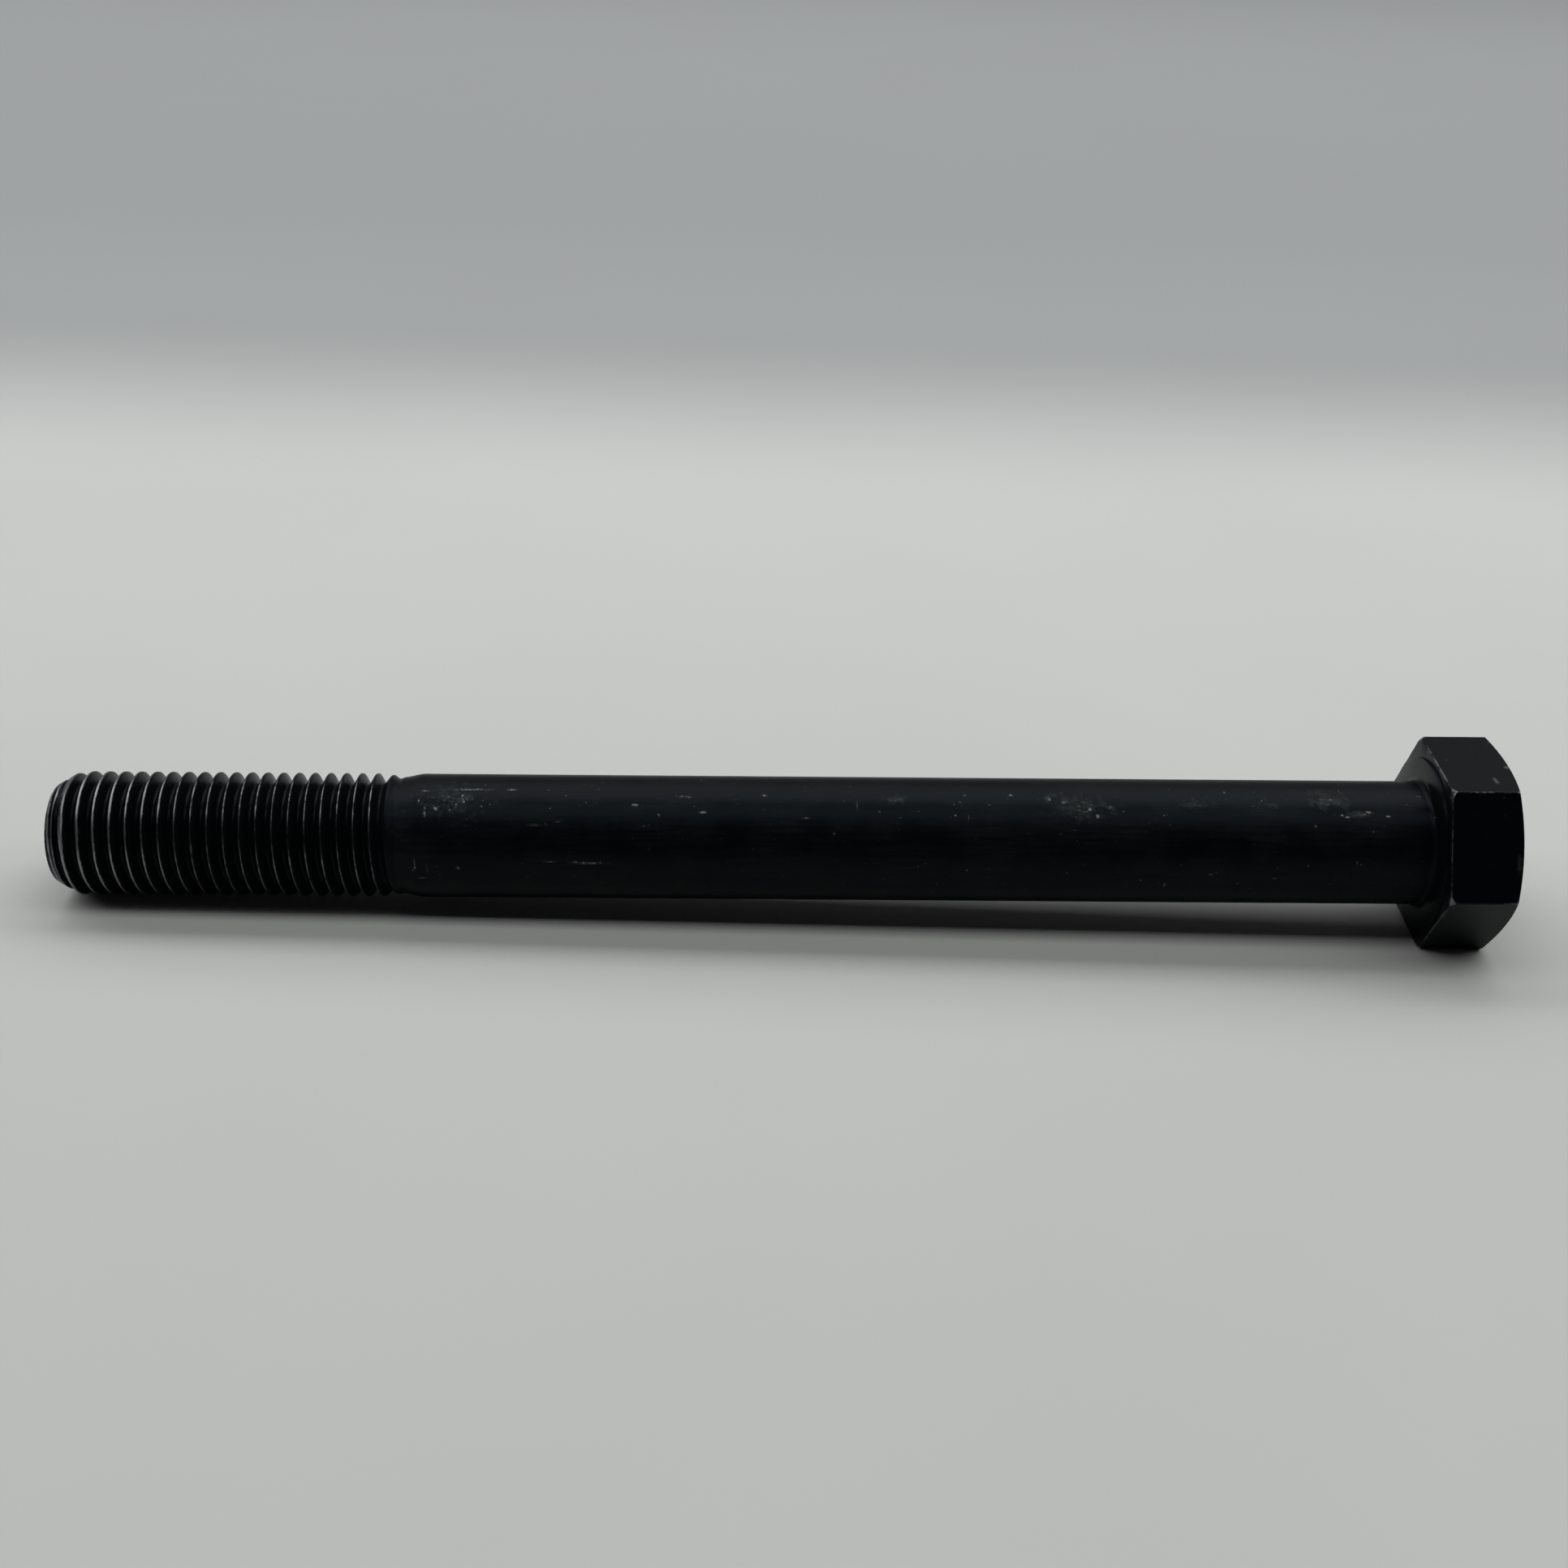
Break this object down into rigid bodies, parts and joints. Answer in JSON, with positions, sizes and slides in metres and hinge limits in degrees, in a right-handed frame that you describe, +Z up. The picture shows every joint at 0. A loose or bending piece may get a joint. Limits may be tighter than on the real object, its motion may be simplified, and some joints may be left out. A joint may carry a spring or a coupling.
{
  "type": "hex cap screw",
  "caption": "Long hex cap screw with a washer-faced hexagon head, a plain shank, a rolled thread at the end and a chamfered point, for clamping parts together.",
  "frame": {"origin": "centre of the bearing face, the flat ring under the head, on the screw's own axis", "axes": "+X runs from the point to the head and +Z is up; as the screw lies at rest its axis climbs 1.32 degrees towards the head"},
  "size_m": [0.2563, 0.0382, 0.0333],
  "materials": {
    "black_oxide_steel": "black oxide over forged and rolled steel, worn bright along the thread's crests and the head's edges"
  },
  "bodies": {
    "root": {"hex_cap_screw": "black_oxide_steel"}
  },
  "joints": []
}
